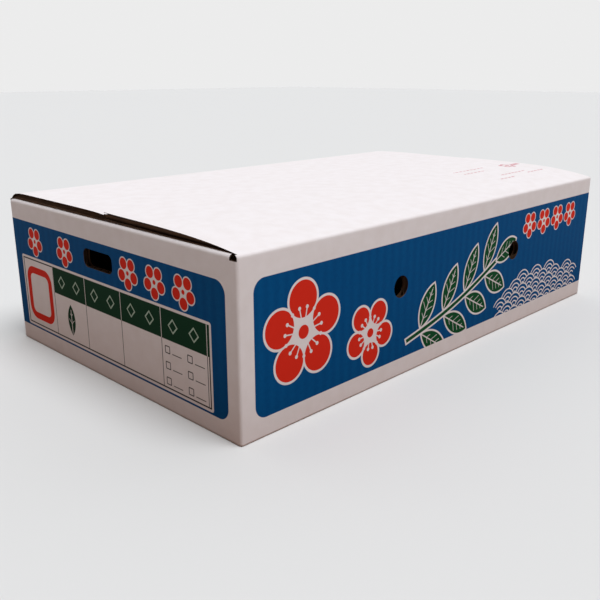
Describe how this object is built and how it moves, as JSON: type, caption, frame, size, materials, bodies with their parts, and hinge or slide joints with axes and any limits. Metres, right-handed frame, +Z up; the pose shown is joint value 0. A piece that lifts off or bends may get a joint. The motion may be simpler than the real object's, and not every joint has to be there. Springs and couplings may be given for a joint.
{
  "type": "corrugated fruit carton",
  "caption": "Closed corrugated cardboard fruit carton with blue printed sides, lid flaps that fold open from a middle seam, round air holes in the long walls and finger slots in the ends.",
  "frame": {"origin": "on the table, under the middle of the closed carton", "axes": "+X along the long front wall from its left end to its right, +Y from the front wall to the back wall, +Z up"},
  "size_m": [0.46, 0.284, 0.1259],
  "materials": {
    "printed_board": "white liner printed with matt blue ink, kraft inside",
    "white_board": "uncoated white liner outside, kraft inside",
    "kraft_board": "bare brown kraft"
  },
  "bodies": {
    "carton": {"front_wall": "printed_board", "right_end_wall": "printed_board", "back_wall": "printed_board", "left_end_wall": "printed_board", "glue_tab": "kraft_board", "bottom_front_flap": "white_board", "bottom_back_flap": "white_board", "bottom_left_flap": "white_board", "bottom_right_flap": "white_board"},
    "front_flap": {"top_front_flap": "white_board"},
    "back_flap": {"top_back_flap": "white_board"},
    "left_flap": {"top_left_flap": "white_board"},
    "right_flap": {"top_right_flap": "white_board"}
  },
  "joints": [
    {"name": "front_flap_hinge", "type": "hinge", "parent": "carton", "child": "front_flap", "pos_m": [0, -0.142, 0.12], "axis": [1, 0, 0], "range_deg": [0, 230]},
    {"name": "back_flap_hinge", "type": "hinge", "parent": "carton", "child": "back_flap", "pos_m": [0, 0.142, 0.12], "axis": [-1, 0, 0], "range_deg": [0, 230]},
    {"name": "left_flap_hinge", "type": "hinge", "parent": "carton", "child": "left_flap", "pos_m": [-0.2247, 0, 0.1147], "axis": [0, 1, 0], "range_deg": [0, 45]},
    {"name": "right_flap_hinge", "type": "hinge", "parent": "carton", "child": "right_flap", "pos_m": [0.2247, 0, 0.1147], "axis": [0, -1, 0], "range_deg": [0, 45]}
  ]
}
